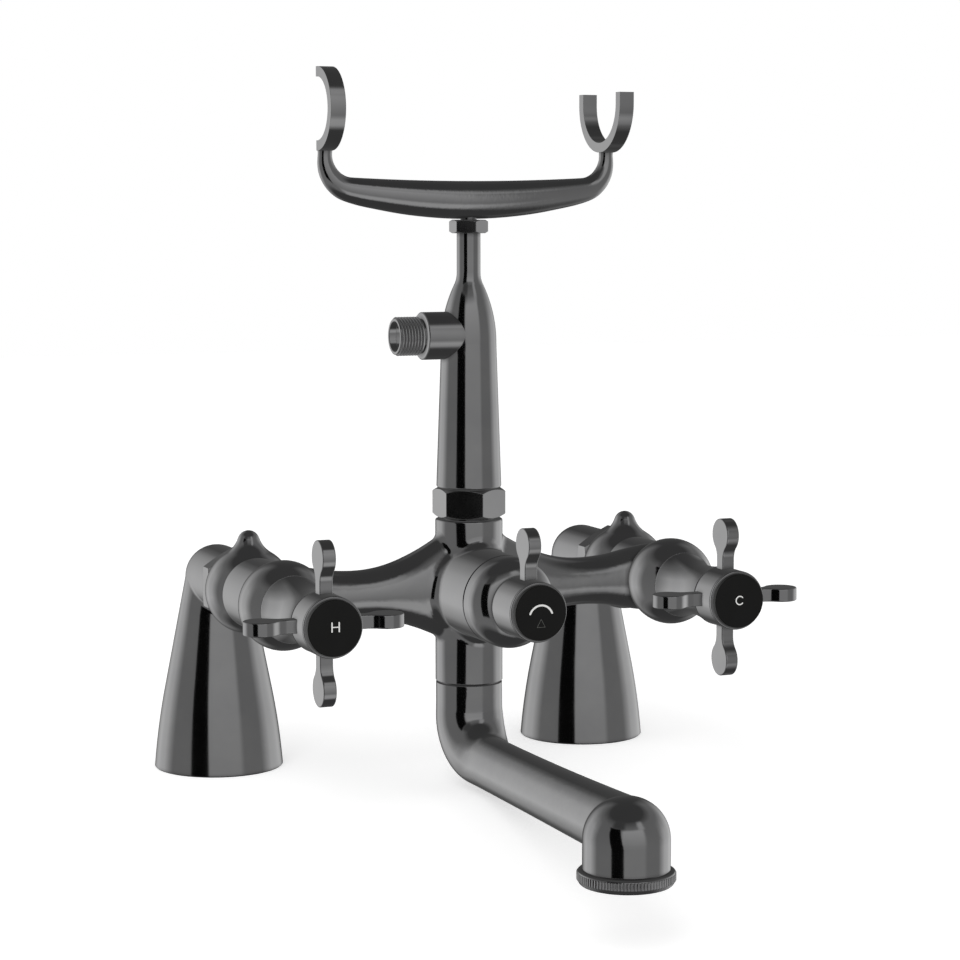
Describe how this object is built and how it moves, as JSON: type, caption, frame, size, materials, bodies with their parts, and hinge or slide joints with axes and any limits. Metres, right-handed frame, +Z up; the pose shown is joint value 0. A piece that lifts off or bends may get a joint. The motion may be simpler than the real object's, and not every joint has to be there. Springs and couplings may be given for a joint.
{
  "type": "bath mixer",
  "caption": "Deck-mounted bath and shower mixer on pillars, with cross handles, a diverter lever, a swivel spout, a riser with a hose outlet and a handset cradle.",
  "frame": {"origin": "on the deck, midway between the axes of the two pillars", "axes": "+X to the cold side, +Y to the back, +Z up; the spout points to -Y"},
  "size_m": [0.2472, 0.2835, 0.3158],
  "materials": {
    "black_nickel": "polished black nickel over brass",
    "brass": "turned brass, unplated",
    "steel": "turned stainless steel",
    "index_black": "satin black",
    "ceramic": "lapped alumina ceramic, stands in as matte plastic",
    "seal_rubber": "EPDM rubber",
    "white_plastic": "acetal"
  },
  "bodies": {
    "fixed_body": {"hot_pillar": "black_nickel", "hot_union_nut": "black_nickel", "hot_union_washer": "seal_rubber", "hot_tail_nipple": "brass", "cold_pillar": "black_nickel", "cold_union_nut": "black_nickel", "cold_union_washer": "seal_rubber", "cold_tail_nipple": "brass", "mixer_body": "black_nickel", "hot_cartridge": "brass", "hot_base_seal": "seal_rubber", "hot_fixed_disc": "ceramic", "hot_shroud": "black_nickel", "cold_cartridge": "brass", "cold_base_seal": "seal_rubber", "cold_fixed_disc": "ceramic", "cold_shroud": "black_nickel", "diverter_cartridge": "brass", "diverter_base_seal": "seal_rubber", "diverter_fixed_disc": "ceramic", "diverter_shroud": "black_nickel", "spout_retaining_screw": "steel", "riser_nut": "black_nickel", "riser_washer": "seal_rubber", "riser_tail_nipple": "brass", "riser": "black_nickel", "hose_nipple": "black_nickel", "check_valve_body": "white_plastic", "cradle_nut": "black_nickel", "cradle_bar": "black_nickel", "left_fork": "black_nickel", "right_fork": "black_nickel"},
    "hot_control": {"hot_handle": "black_nickel", "hot_handle_screw": "steel", "hot_index": "index_black", "hot_spindle": "brass", "hot_turning_disc": "ceramic", "hot_spindle_seal": "seal_rubber"},
    "cold_control": {"cold_handle": "black_nickel", "cold_handle_screw": "steel", "cold_index": "index_black", "cold_spindle": "brass", "cold_turning_disc": "ceramic", "cold_spindle_seal": "seal_rubber"},
    "diverter_control": {"diverter_handle": "black_nickel", "diverter_handle_screw": "steel", "diverter_index": "index_black", "diverter_spindle": "brass", "diverter_turning_disc": "ceramic", "diverter_spindle_seal": "seal_rubber"},
    "swivel_spout": {"spout": "black_nickel", "spout_seals": "seal_rubber", "aerator_ring": "black_nickel", "aerator_insert": "white_plastic", "aerator_washer": "seal_rubber"},
    "poppet": {"check_valve_poppet": "white_plastic"}
  },
  "joints": [
    {"name": "hot_turn", "type": "hinge", "parent": "fixed_body", "child": "hot_control", "pos_m": [-0.09, -0.145, 0.086], "axis": [0, -1, 0], "range_deg": [0, 90]},
    {"name": "cold_turn", "type": "hinge", "parent": "fixed_body", "child": "cold_control", "pos_m": [0.09, -0.145, 0.086], "axis": [0, 1, 0], "range_deg": [0, 90]},
    {"name": "diverter_turn", "type": "hinge", "parent": "fixed_body", "child": "diverter_control", "pos_m": [0, -0.145, 0.086], "axis": [0, -1, 0], "range_deg": [-45, 45]},
    {"name": "spout_swivel", "type": "hinge", "parent": "fixed_body", "child": "swivel_spout", "pos_m": [0, -0.078, 0.045], "axis": [0, 0, 1], "range_deg": [-60, 60]},
    {"name": "poppet_lift", "type": "slide", "parent": "fixed_body", "child": "poppet", "axis": [-1, 0, 0], "range_m": [0, 0.002], "stiffness_N_per_m": 60, "springref_m": -0.002}
  ]
}
